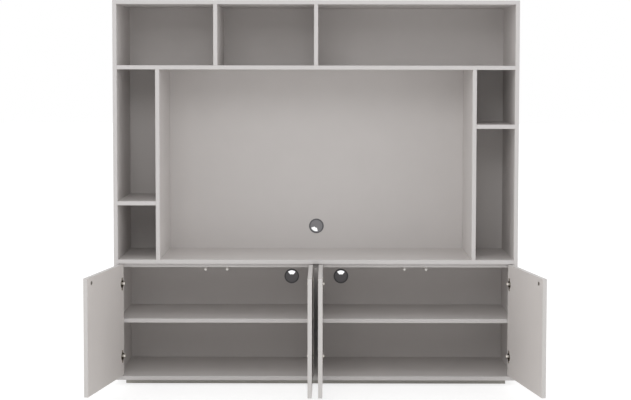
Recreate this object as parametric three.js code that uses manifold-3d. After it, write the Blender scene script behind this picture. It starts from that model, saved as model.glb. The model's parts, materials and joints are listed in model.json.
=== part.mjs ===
// A wall unit for a television: an open hutch standing on a base with four inset doors.
// Millimetres. +X right, +Y back, +Z up. The cabinet is drawn with x = 0 at mid width, y = 0 at its front
// plane and z = 0 on the floor, and the whole is then moved so that its origin is under its middle.
import * as THREE from "three";
import { mergeVertices } from "three/addons/utils/BufferGeometryUtils.js";
import Module from "manifold-3d";

const wasm = await Module();
wasm.setup();

// Overall sizes
const WIDTH = 1800;
const HEIGHT = 1720;
const DEPTH = 420;
const BOARD = 18; // every panel is cut from one board thickness
const EDGE_CHAMFER = 0.8; // broken front edges of the banded boards

// Base
const PLINTH_HEIGHT = 25;
const PLINTH_INSET = 45; // at the front and both ends
const PLINTH_REAR_INSET = 20;
const BASE_HEIGHT = 549; // floor to the top of the base
const BASE_SHELF_Z = 280; // underside of the middle shelves

// Hutch
const TOP_ROW_HEIGHT = 270; // clear height of the top row of cells
const TOWER_WIDTH = 170; // clear width of each tower
const SMALL_CELL_HEIGHT = 243; // low cell of the left tower, high cell of the right tower

// Doors
const DOOR_GAP = 3;
const OUTER_OPEN_DEG = 101.6;
const INNER_OPEN_DEG = 90;
const HINGE_FROM_END = 87; // hinge centre to the door's top or bottom edge

// Concealed hinges
const PIVOT_DEPTH = 7; // pin behind the door's outer face, when the door is shut
const PIVOT_INSET = 11; // pin to the face of the panel that carries the hinge
const SWING_CLEARANCE = 1.4; // from a swinging door's inner edge to the base's top and shelves
const CUP_OFFSET = 12; // pin to the middle of the cup, along the door
const CUP_BORE_RADIUS = 17.5;
const CUP_BORE_DEPTH = 14.5;
const CUP_CLEARANCE = 0.25; // cup to bore, and cup floor to bore floor
const CUP_WALL = 0.8;
const FLANGE_LENGTH = 58;
const FLANGE_WIDTH = 14;
const FLANGE_THICKNESS = 1.2;
const FLANGE_SCREW_SPACING = 48;
const ARM_THICKNESS = 2;
const ARM_HALF_WIDTH = 5;
const BEND_CLEARANCE = 5; // from the open door's inner edge to the arm's bend
const RETURN_CLEARANCE = 1; // from the swinging door's inner edge to the arm's return
const EYE_RADIUS = 1.9;
const PIN_RADIUS = 1.1;
const PIN_HALF_LENGTH = 8.4;
const BEARING_RADIUS = 1.4;
const CHEEK_GAP = 0.6; // arm to each bearing cheek
const CHEEK_THICKNESS = 1.6;
const CHEEK_LENGTH = 4; // past the pin, towards the door's hinge edge
const CHEEK_HEIGHT = 3; // past the pin, towards the door's inner face
const ARM_BODY_LENGTH = 52;
const ARM_BODY_HEIGHT = 10; // from the panel's face
const ARM_BODY_HALF_WIDTH = 6;
const PLATE_THICKNESS = 3;
const PLATE_START = 14; // plate's front end behind the arm's return
const PLATE_LENGTH = 32;
const PLATE_HALF_WIDTH = 7;
const WING_LENGTH = 14;
const WING_HALF_SPAN = 24;
const SCREW_HEAD_RADIUS = 4;
const SCREW_HEAD_HEIGHT = 1.5;
const WING_SCREW_SPACING = 32;
const SEAT = 0.2; // fittings lie this far off the face that they are screwed to

// Push latches
const LATCH_FROM_MEETING = 48.5; // latch axis to the line where a pair of doors meets
const LATCH_BODY_RADIUS = 6;
const LATCH_BODY_LENGTH = 62;
const LATCH_BORE_DEPTH = 24;
const LATCH_TRAVEL = 4;
const SADDLE_HALF_WIDTH = 9;
const SADDLE_THICKNESS = 1.3;
const SADDLE_LENGTH = 44;
const SADDLE_SETBACK = 9; // saddle's front end behind the latch body's
const NECK_HALF_WIDTH = 5; // web that hangs the round body from its saddle
const NECK_HEIGHT = 4.3; // top of the round body to the top of the saddle
const PLUNGER_RADIUS = 3.7;
const PLUNGER_CLEARANCE = 0.3;
const TIP_RADIUS = 5;
const TIP_THICKNESS = 2.4;
const TIP_GAP = 0.4; // plunger tip to the strike plate of a shut door
const PLUNGER_STEM = 18;
const STRIKE_RADIUS = 8;
const STRIKE_THICKNESS = 1;

// Cable grommets
const GROMMET_HOLE_RADIUS = 30;
const GROMMET_FLANGE_RADIUS = 35;
const GROMMET_FLANGE_THICKNESS = 2;
const GROMMET_FLANGE_CHAMFER = 1;
const GROMMET_TUBE_SETBACK = 1; // tube's end in front of the panel's rear face
const GROMMET_TUBE_CLEARANCE = 0.3;
const CAP_RADIUS = 28.6;
const CAP_CLEARANCE = 0.3;
const CAP_THICKNESS = 3;
const LEDGE_WIDTH = 1.4; // step behind the cap's rim
const SLOT_RIM = 1.6; // cap left outside the slot
const SLOT_HUB_RADIUS = 9; // cap left inside the slot
const SLOT_HALF_ANGLE_DEG = 42;
const NICHE_GROMMET_HEIGHT = 106; // above the niche floor
const NICHE_SLOT_TURN_DEG = -152; // the slot of the niche's cap points down and a little left
const BASE_GROMMET_DROP = 98; // below the base's top panel
const BASE_GROMMET_OFFSET = 117; // either side of the middle

// How far pieces that are joined or cut reach past each other's faces
const REACH_PAST = 1;

// Facets round a full circle, and along each arc of a cap's slot
const CUP_SEGMENTS = 20;
const BORE_SEGMENTS = 24;
const ROD_SEGMENTS = 12;
const PIN_SEGMENTS = 8;
const GROMMET_SEGMENTS = 30;
const SLOT_ARC_SEGMENTS = 8;

const radians = THREE.MathUtils.degToRad;

// Places worked out from the sizes above
const HALF_WIDTH = WIDTH / 2;
const INNER_HALF_WIDTH = HALF_WIDTH - BOARD;
const INNER_DEPTH = DEPTH - BOARD; // up to the front of the back panels
const HUTCH_FLOOR = BASE_HEIGHT + BOARD;
const HUTCH_CEILING = HEIGHT - BOARD;
const UPPER_SHELF_Z = HUTCH_CEILING - TOP_ROW_HEIGHT - BOARD;
const BASE_FLOOR = PLINTH_HEIGHT + BOARD;
const BASE_CEILING = BASE_HEIGHT - BOARD;
const COMPARTMENT_WIDTH = INNER_HALF_WIDTH - BOARD / 2;
const DOOR_WIDTH = (COMPARTMENT_WIDTH - 3 * DOOR_GAP) / 2;
const DOOR_BOTTOM = BASE_FLOOR + DOOR_GAP;
const DOOR_HEIGHT = BASE_HEIGHT - DOOR_GAP - DOOR_BOTTOM;
// The inner corner of a door's hinge edge, seen from the pin: its distance, and its angle when shut
const CORNER_BACK = BOARD - PIVOT_DEPTH;
const CORNER_SIDE = PIVOT_INSET - DOOR_GAP;
const SWING_RADIUS = Math.hypot(CORNER_SIDE, CORNER_BACK);
const CORNER_ANGLE = Math.atan2(CORNER_BACK, -CORNER_SIDE);
const SHELF_SETBACK = Math.ceil(PIVOT_DEPTH + SWING_RADIUS + SWING_CLEARANCE);
// Pin to the inner side of the arm's bend, along the door, and to the near side of its return
const ARM_REACH = SWING_RADIUS * Math.cos(CORNER_ANGLE - radians(OUTER_OPEN_DEG)) + BEND_CLEARANCE;
const ARM_RISE = SWING_RADIUS + RETURN_CLEARANCE;
const MEETING_X = BOARD / 2 + DOOR_GAP + DOOR_WIDTH + DOOR_GAP / 2;
const LATCH_Z = BASE_CEILING - SEAT - NECK_HEIGHT - LATCH_BODY_RADIUS;
const PLUNGER_FRONT = BOARD + SEAT + STRIKE_THICKNESS + TIP_GAP;
const LATCH_FRONT = PLUNGER_FRONT + TIP_THICKNESS + LATCH_TRAVEL + TIP_GAP;
const HINGE_HEIGHTS = {
  upper: DOOR_BOTTOM + DOOR_HEIGHT - HINGE_FROM_END,
  lower: DOOR_BOTTOM + HINGE_FROM_END,
};
const NICHE_GROMMET_Z = HUTCH_FLOOR + NICHE_GROMMET_HEIGHT;
const BASE_GROMMET_Z = BASE_CEILING - BASE_GROMMET_DROP;

// Materials
function finish(color, roughness, metalness = 0) {
  return new THREE.MeshStandardMaterial({ color, roughness, metalness, flatShading: true });
}
const LAMINATE = finish(0xd2d0ce, 0.55);
const STEEL = finish(0xb9b8b5, 0.35, 1);
const PALE_PLASTIC = finish(0xc9c7c4, 0.5);
const GREY_PLASTIC = finish(0x8c8a88, 0.6);
const DARK_STEEL = finish(0x4b4743, 0.45, 1);

// Joining and cutting closed meshes
function toSolid(geometry) {
  const bare = geometry.clone();
  bare.deleteAttribute("normal");
  bare.deleteAttribute("uv");
  const merged = mergeVertices(bare, 1e-4);
  return new wasm.Manifold(
    new wasm.Mesh({
      numProp: 3,
      vertProperties: new Float32Array(merged.attributes.position.array),
      triVerts: new Uint32Array(merged.index.array),
    }),
  );
}

function toGeometry(solid) {
  const mesh = solid.getMesh();
  const geometry = new THREE.BufferGeometry();
  geometry.setAttribute("position", new THREE.BufferAttribute(mesh.vertProperties, 3));
  geometry.setIndex(new THREE.BufferAttribute(mesh.triVerts, 1));
  geometry.computeVertexNormals();
  return geometry;
}

function join(first, ...others) {
  return toGeometry(others.reduce((sum, piece) => sum.add(toSolid(piece)), toSolid(first)));
}

function cut(body, ...tools) {
  return toGeometry(tools.reduce((rest, tool) => rest.subtract(toSolid(tool)), toSolid(body)));
}

// Simple closed shapes, each placed by its limits or its centre
function block(x0, x1, y0, y1, z0, z1) {
  const size = [Math.abs(x1 - x0), Math.abs(y1 - y0), Math.abs(z1 - z0)];
  return new THREE.BoxGeometry(...size).translate((x0 + x1) / 2, (y0 + y1) / 2, (z0 + z1) / 2);
}

function rodAlongY(radius, y0, y1, x, z, segments) {
  return new THREE.CylinderGeometry(radius, radius, y1 - y0, segments).translate(x, (y0 + y1) / 2, z);
}

function rodAlongZ(radius, z0, z1, x, y, segments) {
  const rod = new THREE.CylinderGeometry(radius, radius, z1 - z0, segments).rotateX(Math.PI / 2);
  return rod.translate(x, y, (z0 + z1) / 2);
}

function rodAlongX(radius, x0, x1, y, z, segments) {
  const length = Math.abs(x1 - x0);
  const rod = new THREE.CylinderGeometry(radius, radius, length, segments).rotateZ(Math.PI / 2);
  return rod.translate((x0 + x1) / 2, y, z);
}

// A closed profile of [radius, y] points, turned about the Y axis
function turned(points, segments) {
  const profile = points.map(([radius, y]) => new THREE.Vector2(radius, y));
  return new THREE.LatheGeometry([...profile, profile[0].clone()], segments);
}

const cabinet = new THREE.Group();

function add(name, geometry, material, parent = cabinet) {
  const mesh = new THREE.Mesh(geometry, material);
  mesh.name = name;
  parent.add(mesh);
  return mesh;
}

// Boards: a rectangle with its front corners broken, drawn across the board and run along its length
function boardProfile(thickness, depth) {
  const c = EDGE_CHAMFER;
  const shape = new THREE.Shape();
  shape.moveTo(c, 0);
  shape.lineTo(thickness - c, 0);
  shape.lineTo(thickness, c);
  shape.lineTo(thickness, depth);
  shape.lineTo(0, depth);
  shape.lineTo(0, c);
  shape.closePath();
  return shape;
}

function uprightBoard(name, x0, y0, y1, z0, z1) {
  const shape = boardProfile(BOARD, y1 - y0);
  const geometry = new THREE.ExtrudeGeometry(shape, { depth: z1 - z0, bevelEnabled: false });
  add(name, geometry, LAMINATE).position.set(x0, y0, z0);
}

function levelBoard(name, x0, x1, y0, y1, z0) {
  const shape = boardProfile(BOARD, y1 - y0);
  const geometry = new THREE.ExtrudeGeometry(shape, { depth: x1 - x0, bevelEnabled: false });
  // The profile's thickness runs down from the board's upper face and the extrusion runs along +X.
  const across = new THREE.Matrix4().makeBasis(
    new THREE.Vector3(0, 0, -1),
    new THREE.Vector3(0, 1, 0),
    new THREE.Vector3(1, 0, 0),
  );
  add(name, geometry.applyMatrix4(across), LAMINATE).position.set(x0, y0, z0 + BOARD);
}

function backPanel(name, z0, z1, holes) {
  const panel = block(-INNER_HALF_WIDTH, INNER_HALF_WIDTH, 0, BOARD, z0, z1);
  const drills = holes.map(([x, z]) =>
    rodAlongY(GROMMET_HOLE_RADIUS, -REACH_PAST, BOARD + REACH_PAST, x, z, GROMMET_SEGMENTS),
  );
  add(name, cut(panel, ...drills), LAMINATE).position.set(0, INNER_DEPTH, 0);
}

function buildHutch() {
  const towerInner = INNER_HALF_WIDTH - TOWER_WIDTH;
  uprightBoard("hutch_side_left", -HALF_WIDTH, 0, DEPTH, BASE_HEIGHT, HEIGHT);
  uprightBoard("hutch_side_right", INNER_HALF_WIDTH, 0, DEPTH, BASE_HEIGHT, HEIGHT);
  levelBoard("hutch_bottom", -INNER_HALF_WIDTH, INNER_HALF_WIDTH, 0, INNER_DEPTH, BASE_HEIGHT);
  levelBoard("hutch_top", -INNER_HALF_WIDTH, INNER_HALF_WIDTH, 0, INNER_DEPTH, HUTCH_CEILING);
  levelBoard("upper_shelf", -INNER_HALF_WIDTH, INNER_HALF_WIDTH, 0, INNER_DEPTH, UPPER_SHELF_Z);
  const topRowFloor = UPPER_SHELF_Z + BOARD;
  const narrowCell = (INNER_HALF_WIDTH - 1.5 * BOARD) / 2;
  const leftDivider = -BOARD / 2 - narrowCell - BOARD;
  uprightBoard("top_divider_left", leftDivider, 0, INNER_DEPTH, topRowFloor, HUTCH_CEILING);
  uprightBoard("top_divider_centre", -BOARD / 2, 0, INNER_DEPTH, topRowFloor, HUTCH_CEILING);
  uprightBoard("tower_panel_left", -towerInner, 0, INNER_DEPTH, HUTCH_FLOOR, UPPER_SHELF_Z);
  uprightBoard("tower_panel_right", towerInner - BOARD, 0, INNER_DEPTH, HUTCH_FLOOR, UPPER_SHELF_Z);
  const lowShelf = HUTCH_FLOOR + SMALL_CELL_HEIGHT;
  const highShelf = UPPER_SHELF_Z - SMALL_CELL_HEIGHT - BOARD;
  levelBoard("tower_shelf_left", -INNER_HALF_WIDTH, -towerInner, 0, INNER_DEPTH, lowShelf);
  levelBoard("tower_shelf_right", towerInner, INNER_HALF_WIDTH, 0, INNER_DEPTH, highShelf);
  backPanel("hutch_back", BASE_HEIGHT, HEIGHT, [[0, NICHE_GROMMET_Z]]);
}

function buildBase() {
  levelBoard("base_bottom", -HALF_WIDTH, HALF_WIDTH, 0, DEPTH, PLINTH_HEIGHT);
  uprightBoard("base_side_left", -HALF_WIDTH, 0, DEPTH, BASE_FLOOR, BASE_HEIGHT);
  uprightBoard("base_side_right", INNER_HALF_WIDTH, 0, DEPTH, BASE_FLOOR, BASE_HEIGHT);
  uprightBoard("base_partition", -BOARD / 2, 0, INNER_DEPTH, BASE_FLOOR, BASE_CEILING);
  const front = SHELF_SETBACK;
  levelBoard("base_top", -INNER_HALF_WIDTH, INNER_HALF_WIDTH, front, INNER_DEPTH, BASE_CEILING);
  levelBoard("base_shelf_left", -INNER_HALF_WIDTH, -BOARD / 2, front, INNER_DEPTH, BASE_SHELF_Z);
  levelBoard("base_shelf_right", BOARD / 2, INNER_HALF_WIDTH, front, INNER_DEPTH, BASE_SHELF_Z);
  backPanel("base_back", BASE_FLOOR, BASE_HEIGHT, [
    [-BASE_GROMMET_OFFSET, BASE_GROMMET_Z],
    [BASE_GROMMET_OFFSET, BASE_GROMMET_Z],
  ]);
}

function buildPlinth() {
  const halfLength = HALF_WIDTH - PLINTH_INSET;
  const rear = DEPTH - PLINTH_REAR_INSET;
  const outer = block(-halfLength, halfLength, PLINTH_INSET, rear, 0, PLINTH_HEIGHT);
  const inner = block(
    -halfLength + BOARD,
    halfLength - BOARD,
    PLINTH_INSET + BOARD,
    rear - BOARD,
    -REACH_PAST,
    PLINTH_HEIGHT + REACH_PAST,
  );
  add("plinth_frame", cut(outer, inner), LAMINATE);
}

// Hinge shapes are drawn about the pin, for a door that runs from it along dir * X when shut.
function hingeArm(dir) {
  const w = ARM_HALF_WIDTH;
  const t = ARM_THICKNESS;
  const rise = ARM_RISE;
  const bend = ARM_REACH + t;
  const face = SEAT - PIVOT_INSET;
  const bodyInner = face + PLATE_THICKNESS;
  const bodyOuter = face + ARM_BODY_HEIGHT;
  const bodyWidth = ARM_BODY_HALF_WIDTH;
  const plateFront = rise + PLATE_START;
  const plateMiddle = plateFront + PLATE_LENGTH / 2;
  const screws = [-1, 1].map((end) =>
    rodAlongX(
      SCREW_HEAD_RADIUS,
      dir * (face + PLATE_THICKNESS / 2),
      dir * (face + PLATE_THICKNESS + SCREW_HEAD_HEIGHT),
      plateMiddle,
      (end * WING_SCREW_SPACING) / 2,
      PIN_SEGMENTS,
    ),
  );
  const plate = block(
    dir * face,
    dir * (bodyInner + REACH_PAST),
    plateFront,
    plateFront + PLATE_LENGTH,
    -PLATE_HALF_WIDTH,
    PLATE_HALF_WIDTH,
  );
  const wings = block(
    dir * face,
    dir * bodyInner,
    plateMiddle - WING_LENGTH / 2,
    plateMiddle + WING_LENGTH / 2,
    -WING_HALF_SPAN,
    WING_HALF_SPAN,
  );
  return join(
    rodAlongZ(PIN_RADIUS, -PIN_HALF_LENGTH, PIN_HALF_LENGTH, 0, 0, PIN_SEGMENTS),
    rodAlongZ(EYE_RADIUS, -w, w, 0, 0, PIN_SEGMENTS),
    block(0, dir * bend, -t / 2, t / 2, -w, w),
    block(dir * ARM_REACH, dir * bend, -t / 2, rise + t, -w, w),
    block(dir * bodyInner, dir * bend, rise, rise + t, -w, w),
    block(dir * bodyInner, dir * bodyOuter, rise, rise + ARM_BODY_LENGTH, -bodyWidth, bodyWidth),
    plate,
    wings,
    ...screws,
  );
}

function hingeCup(dir) {
  const centre = dir * CUP_OFFSET;
  const doorFace = BOARD - PIVOT_DEPTH;
  const floor = doorFace - CUP_BORE_DEPTH + CUP_CLEARANCE;
  const rim = doorFace + SEAT + FLANGE_THICKNESS;
  const outerRadius = CUP_BORE_RADIUS - CUP_CLEARANCE;
  const innerRadius = outerRadius - CUP_WALL;
  const cheekInner = ARM_HALF_WIDTH + CHEEK_GAP;
  const cheekOuter = cheekInner + CHEEK_THICKNESS;
  const flange = block(
    centre - FLANGE_WIDTH / 2,
    centre + FLANGE_WIDTH / 2,
    doorFace + SEAT,
    rim,
    -FLANGE_LENGTH / 2,
    FLANGE_LENGTH / 2,
  );
  const shell = rodAlongY(outerRadius, floor, doorFace + SEAT, centre, 0, CUP_SEGMENTS);
  const hollow = rodAlongY(innerRadius, floor + CUP_WALL, rim + REACH_PAST, centre, 0, CUP_SEGMENTS);
  const shellAndFlange = cut(join(shell, flange), hollow);
  const cheekRoot = CUP_OFFSET - Math.sqrt(outerRadius ** 2 - cheekOuter ** 2) + CUP_WALL / 4;
  const cheeks = [-1, 1].map((end) =>
    block(
      dir * cheekRoot,
      dir * CHEEK_LENGTH,
      floor + CUP_WALL / 2,
      CHEEK_HEIGHT,
      end * cheekInner,
      end * cheekOuter,
    ),
  );
  const screws = [-1, 1].map((end) =>
    rodAlongY(
      SCREW_HEAD_RADIUS,
      rim - FLANGE_THICKNESS / 2,
      rim + SCREW_HEAD_HEIGHT,
      centre,
      (end * FLANGE_SCREW_SPACING) / 2,
      PIN_SEGMENTS,
    ),
  );
  const boreEnd = cheekOuter + REACH_PAST;
  const bearing = rodAlongZ(BEARING_RADIUS, -boreEnd, boreEnd, 0, 0, PIN_SEGMENTS);
  return cut(join(shellAndFlange, ...cheeks, ...screws), bearing);
}

function doorPanel(dir) {
  const c = EDGE_CHAMFER;
  const near = DOOR_GAP - PIVOT_INSET;
  const far = near + DOOR_WIDTH;
  const outerFace = -PIVOT_DEPTH;
  const innerFace = BOARD - PIVOT_DEPTH;
  const outline = [
    [near + c, outerFace],
    [far - c, outerFace],
    [far, outerFace + c],
    [far, innerFace - c],
    [far - c, innerFace],
    [near + c, innerFace],
    [near, innerFace - c],
    [near, outerFace + c],
  ];
  const shape = new THREE.Shape(outline.map(([x, y]) => new THREE.Vector2(dir * x, y)));
  const panel = new THREE.ExtrudeGeometry(shape, { depth: DOOR_HEIGHT, bevelEnabled: false });
  panel.translate(0, 0, DOOR_BOTTOM);
  const bores = Object.values(HINGE_HEIGHTS).map((z) =>
    rodAlongY(
      CUP_BORE_RADIUS,
      innerFace - CUP_BORE_DEPTH,
      innerFace + REACH_PAST,
      dir * CUP_OFFSET,
      z,
      BORE_SEGMENTS,
    ),
  );
  return cut(panel, ...bores);
}

// One door with its two hinges and its strike plate. carrier is the face that the hinges are screwed to.
function buildDoor(label, carrier, dir, openDegrees) {
  const pivotX = carrier + dir * PIVOT_INSET;
  const door = new THREE.Group();
  door.position.set(pivotX, PIVOT_DEPTH, 0);
  door.rotation.z = -dir * radians(openDegrees);
  cabinet.add(door);
  add("door_" + label, doorPanel(dir), LAMINATE, door);
  for (const [level, z] of Object.entries(HINGE_HEIGHTS)) {
    add(`hinge_cup_${label}_${level}`, hingeCup(dir), STEEL, door).position.z = z;
    const arm = add(`hinge_arm_${label}_${level}`, hingeArm(dir), STEEL);
    arm.position.set(pivotX, PIVOT_DEPTH, z);
  }
  const strikeX = DOOR_GAP + DOOR_WIDTH + DOOR_GAP / 2 - LATCH_FROM_MEETING - PIVOT_INSET;
  const doorFace = BOARD - PIVOT_DEPTH + SEAT;
  const strike = rodAlongY(STRIKE_RADIUS, doorFace, doorFace + STRIKE_THICKNESS, 0, 0, ROD_SEGMENTS);
  add("strike_plate_" + label, strike, DARK_STEEL, door).position.set(dir * strikeX, 0, LATCH_Z);
}

function buildLatch(label, x) {
  const boreRadius = PLUNGER_RADIUS + PLUNGER_CLEARANCE;
  const barrel = rodAlongY(LATCH_BODY_RADIUS, 0, LATCH_BODY_LENGTH, 0, 0, ROD_SEGMENTS);
  const bore = rodAlongY(boreRadius, -REACH_PAST, LATCH_BORE_DEPTH, 0, 0, ROD_SEGMENTS);
  const saddleTop = LATCH_BODY_RADIUS + NECK_HEIGHT;
  const saddleEnd = SADDLE_SETBACK + SADDLE_LENGTH;
  const saddle = block(
    -SADDLE_HALF_WIDTH,
    SADDLE_HALF_WIDTH,
    SADDLE_SETBACK,
    saddleEnd,
    saddleTop - SADDLE_THICKNESS,
    saddleTop,
  );
  const neck = block(
    -NECK_HALF_WIDTH,
    NECK_HALF_WIDTH,
    SADDLE_SETBACK,
    saddleEnd,
    0,
    saddleTop - SADDLE_THICKNESS / 2,
  );
  const body = cut(join(barrel, neck, saddle), bore);
  add("latch_body_" + label, body, PALE_PLASTIC).position.set(x, LATCH_FRONT, LATCH_Z);
  const stemEnd = TIP_THICKNESS + LATCH_TRAVEL + TIP_GAP + PLUNGER_STEM;
  const plunger = turned(
    [
      [0, 0],
      [TIP_RADIUS, 0],
      [TIP_RADIUS, TIP_THICKNESS],
      [PLUNGER_RADIUS, TIP_THICKNESS],
      [PLUNGER_RADIUS, stemEnd],
      [0, stemEnd],
    ],
    ROD_SEGMENTS,
  );
  const mesh = add("latch_plunger_" + label, plunger, PALE_PLASTIC);
  mesh.position.set(x, PLUNGER_FRONT, LATCH_Z);
}

// The liner's y = 0 is the front face of the back panel that it sits in.
function grommetLiner() {
  const tube = GROMMET_HOLE_RADIUS - GROMMET_TUBE_CLEARANCE;
  const mouth = CAP_RADIUS + CAP_CLEARANCE;
  const ledge = CAP_RADIUS - LEDGE_WIDTH;
  const front = -SEAT - GROMMET_FLANGE_THICKNESS;
  const ledgeFront = front + CAP_THICKNESS + CAP_CLEARANCE;
  return turned(
    [
      [ledge, ledgeFront],
      [mouth, ledgeFront],
      [mouth, front],
      [GROMMET_FLANGE_RADIUS - GROMMET_FLANGE_CHAMFER, front],
      [GROMMET_FLANGE_RADIUS, front + GROMMET_FLANGE_CHAMFER],
      [GROMMET_FLANGE_RADIUS, -SEAT],
      [tube, -SEAT],
      [tube, BOARD - GROMMET_TUBE_SETBACK],
      [ledge, BOARD - GROMMET_TUBE_SETBACK],
    ],
    GROMMET_SEGMENTS,
  );
}

// A disc with a fan-shaped cable slot between its hub and its rim
function grommetCap() {
  const front = -SEAT - GROMMET_FLANGE_THICKNESS;
  const disc = rodAlongY(CAP_RADIUS, front, front + CAP_THICKNESS, 0, 0, GROMMET_SEGMENTS);
  const from = radians(90 - SLOT_HALF_ANGLE_DEG);
  const to = radians(90 + SLOT_HALF_ANGLE_DEG);
  const shape = new THREE.Shape();
  shape.absarc(0, 0, CAP_RADIUS - SLOT_RIM, from, to, false);
  shape.absarc(0, 0, SLOT_HUB_RADIUS, to, from, true);
  shape.closePath();
  const slot = new THREE.ExtrudeGeometry(shape, {
    depth: CAP_THICKNESS + 2 * REACH_PAST,
    bevelEnabled: false,
    curveSegments: SLOT_ARC_SEGMENTS,
  });
  slot.rotateX(Math.PI / 2).translate(0, front + CAP_THICKNESS + REACH_PAST, 0);
  return cut(disc, slot);
}

function buildGrommet(label, x, z, turnDegrees) {
  add("grommet_liner_" + label, grommetLiner(), GREY_PLASTIC).position.set(x, INNER_DEPTH, z);
  const cap = add("grommet_cap_" + label, grommetCap(), GREY_PLASTIC);
  cap.position.set(x, INNER_DEPTH, z);
  cap.rotation.y = radians(turnDegrees);
}

buildHutch();
buildBase();
buildPlinth();

const DOORS = [
  ["outer_left", -INNER_HALF_WIDTH, 1, OUTER_OPEN_DEG, -1],
  ["inner_left", -BOARD / 2, -1, INNER_OPEN_DEG, 1],
  ["inner_right", BOARD / 2, 1, INNER_OPEN_DEG, -1],
  ["outer_right", INNER_HALF_WIDTH, -1, OUTER_OPEN_DEG, 1],
];
for (const [label, carrier, dir, open, fromMeeting] of DOORS) {
  buildDoor(label, carrier, dir, open);
  buildLatch(label, Math.sign(carrier) * MEETING_X + fromMeeting * LATCH_FROM_MEETING);
}

buildGrommet("niche", 0, NICHE_GROMMET_Z, NICHE_SLOT_TURN_DEG);
buildGrommet("base_left", -BASE_GROMMET_OFFSET, BASE_GROMMET_Z, 0);
buildGrommet("base_right", BASE_GROMMET_OFFSET, BASE_GROMMET_Z, 0);

// The origin goes under the middle of the whole, open doors included.
const tvStand = new THREE.Group();
tvStand.add(cabinet);
const bounds = new THREE.Box3().setFromObject(cabinet, true);
cabinet.position.y = -(bounds.min.y + bounds.max.y) / 2;

export default tvStand;
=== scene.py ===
# %% [markdown]
# A wall unit for a television, dressed for the camera.
#
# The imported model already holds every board, hinge, latch and cable grommet at its real size and place.
# This file gives each of them the surface of the real one: boards with rounded, banded edges, pressed
# steel hinges, turned plastic latches and moulded grommets. Each piece is worked out with numpy as rings
# of points and put where its solid is, so the doors still swing and the caps still turn.

# %% Load the frame
import json
import math

import bpy
import numpy as np
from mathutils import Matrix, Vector


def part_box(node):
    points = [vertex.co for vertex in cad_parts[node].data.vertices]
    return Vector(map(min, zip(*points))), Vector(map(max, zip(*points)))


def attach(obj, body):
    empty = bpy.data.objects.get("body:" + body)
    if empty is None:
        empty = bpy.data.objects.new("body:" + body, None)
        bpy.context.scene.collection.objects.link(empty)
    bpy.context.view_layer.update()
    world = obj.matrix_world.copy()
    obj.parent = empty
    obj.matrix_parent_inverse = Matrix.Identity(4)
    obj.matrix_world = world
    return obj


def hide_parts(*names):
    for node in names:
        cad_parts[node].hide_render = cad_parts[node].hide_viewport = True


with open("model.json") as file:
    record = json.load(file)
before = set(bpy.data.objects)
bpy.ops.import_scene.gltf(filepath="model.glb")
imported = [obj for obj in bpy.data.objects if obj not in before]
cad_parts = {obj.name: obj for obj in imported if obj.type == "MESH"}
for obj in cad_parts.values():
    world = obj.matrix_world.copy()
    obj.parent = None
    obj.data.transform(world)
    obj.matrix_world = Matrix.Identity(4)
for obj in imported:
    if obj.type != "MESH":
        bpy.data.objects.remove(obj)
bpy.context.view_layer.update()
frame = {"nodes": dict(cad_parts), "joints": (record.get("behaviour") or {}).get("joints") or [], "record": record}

MM = 0.001
X_AXIS, Y_AXIS, Z_AXIS = np.eye(3)
scene = bpy.context.scene

# %% [markdown]
# The camera stands about 5.9 m in front of the unit, a little right of its middle and at eye height, with a
# long lens. The photograph keeps its verticals nearly upright although it looks down on the shelves, as a
# shift lens does. All of that could be the camera's shift, but every other view of the scene keeps the same
# shift and would lose part of the unit. So part of it is shift, and the camera is turned down for the rest.
# The numbers come from fitting the unit's known edges to where the photograph shows them.

# %% Camera
IMAGE_WIDTH = 631
IMAGE_CENTRE_X = 315.5
PRINCIPAL_X = 325.28
FOCAL_PIXELS = 1326.9
SENSOR_WIDTH = 36.0
SHIFT_DOWN = -0.09
TILT_DOWN = 0.0537
ROLL = -0.0016
CAMERA_PLACE = (0.041, -5.878, 1.404)

camera_data = bpy.data.cameras.new("camera")
camera_data.sensor_width = SENSOR_WIDTH
camera_data.lens = SENSOR_WIDTH * FOCAL_PIXELS / IMAGE_WIDTH
camera_data.shift_x = (IMAGE_CENTRE_X - PRINCIPAL_X) / IMAGE_WIDTH
camera_data.shift_y = SHIFT_DOWN
camera = bpy.data.objects.new("camera", camera_data)
camera.location = CAMERA_PLACE
camera.rotation_euler = (math.pi / 2 - TILT_DOWN, ROLL, 0.0)
scene.collection.objects.link(camera)
scene.camera = camera
print("lens", round(camera_data.lens, 1), "mm, shift", round(camera_data.shift_x, 4), SHIFT_DOWN)

# %% [markdown]
# Colours are written as the sRGB hex values that a paint chart would give, and one function turns them into
# the linear numbers that Blender's shaders work with. Another adds a shader node with its settings and its
# links. The trees could be built by hand in the shader editor, but written out they can be read, and they
# are the same each run. A Mix node has all its sockets at once: 0 is the share, 2 and 3 take numbers, and
# 6 and 7 take colours.


# %% Colour and node helpers
def linear(code):
    """An sRGB hex colour as linear red, green and blue with alpha 1: a straight foot, then a power of 2.4."""
    values = np.array([int(code[i : i + 2], 16) for i in (0, 2, 4)]) / 255
    low, high = values / 12.92, ((values + 0.055) / 1.055) ** 2.4
    return (*np.where(values <= 0.04045, low, high), 1.0)


def add_node(tree, kind, inputs=None, **settings):
    """A new node. settings are its own attributes, and inputs maps a socket to a value or a link."""
    made = tree.nodes.new(kind)
    for name, value in settings.items():
        setattr(made, name, value)
    for name, value in (inputs or {}).items():
        if isinstance(value, bpy.types.NodeSocket):
            tree.links.new(value, made.inputs[name])
        else:
            made.inputs[name].default_value = value
    return made


def new_material(name):
    """An empty node material, its tree and its output node."""
    material = bpy.data.materials.new(name)
    material.use_nodes = True
    tree = material.node_tree
    tree.nodes.clear()
    return material, tree, tree.nodes.new("ShaderNodeOutputMaterial")


print("the grey D2CECC in linear light is", np.round(linear("D2CECC")[:3], 3))

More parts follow.
